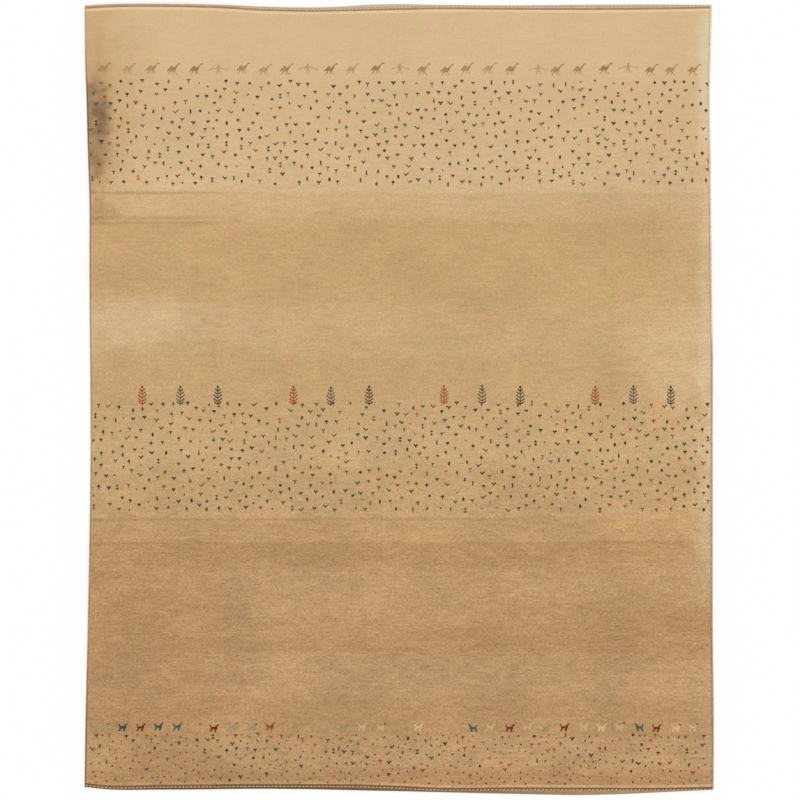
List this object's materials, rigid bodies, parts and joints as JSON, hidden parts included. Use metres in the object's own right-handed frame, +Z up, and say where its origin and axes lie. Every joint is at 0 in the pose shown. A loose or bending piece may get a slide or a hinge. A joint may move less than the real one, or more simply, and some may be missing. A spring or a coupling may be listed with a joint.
{
  "type": "hand-knotted rug",
  "caption": "Hand-knotted wool rug lying flat: shaded tan pile with small tribal figures and sprigs, overcast long edges, and flat-woven ends with a twined two-colour braid.",
  "frame": {"origin": "on the floor, under the middle of the rug's full width and length", "axes": "+X across the rug to the picture's right, +Y along the rug to the picture's top, +Z up out of the pile"},
  "size_m": [2.4399, 3.0659, 0.012],
  "materials": {
    "pile_wool": "matte cut wool pile, dyed in uneven tans",
    "hem_wool": "matte flat-woven undyed wool",
    "selvedge_wool": "matte brown wool, overcast",
    "braid_wool": "matte brown and ivory wool yarn, twined",
    "motif_wool": "matte dyed wool knots in blue, green, rust, brown and ivory"
  },
  "bodies": {
    "root": {"knotted_cloth": "pile_wool", "selvedge_left": "selvedge_wool", "selvedge_right": "selvedge_wool", "end_braid_lower": "braid_wool", "end_braid_upper": "braid_wool"}
  },
  "joints": []
}
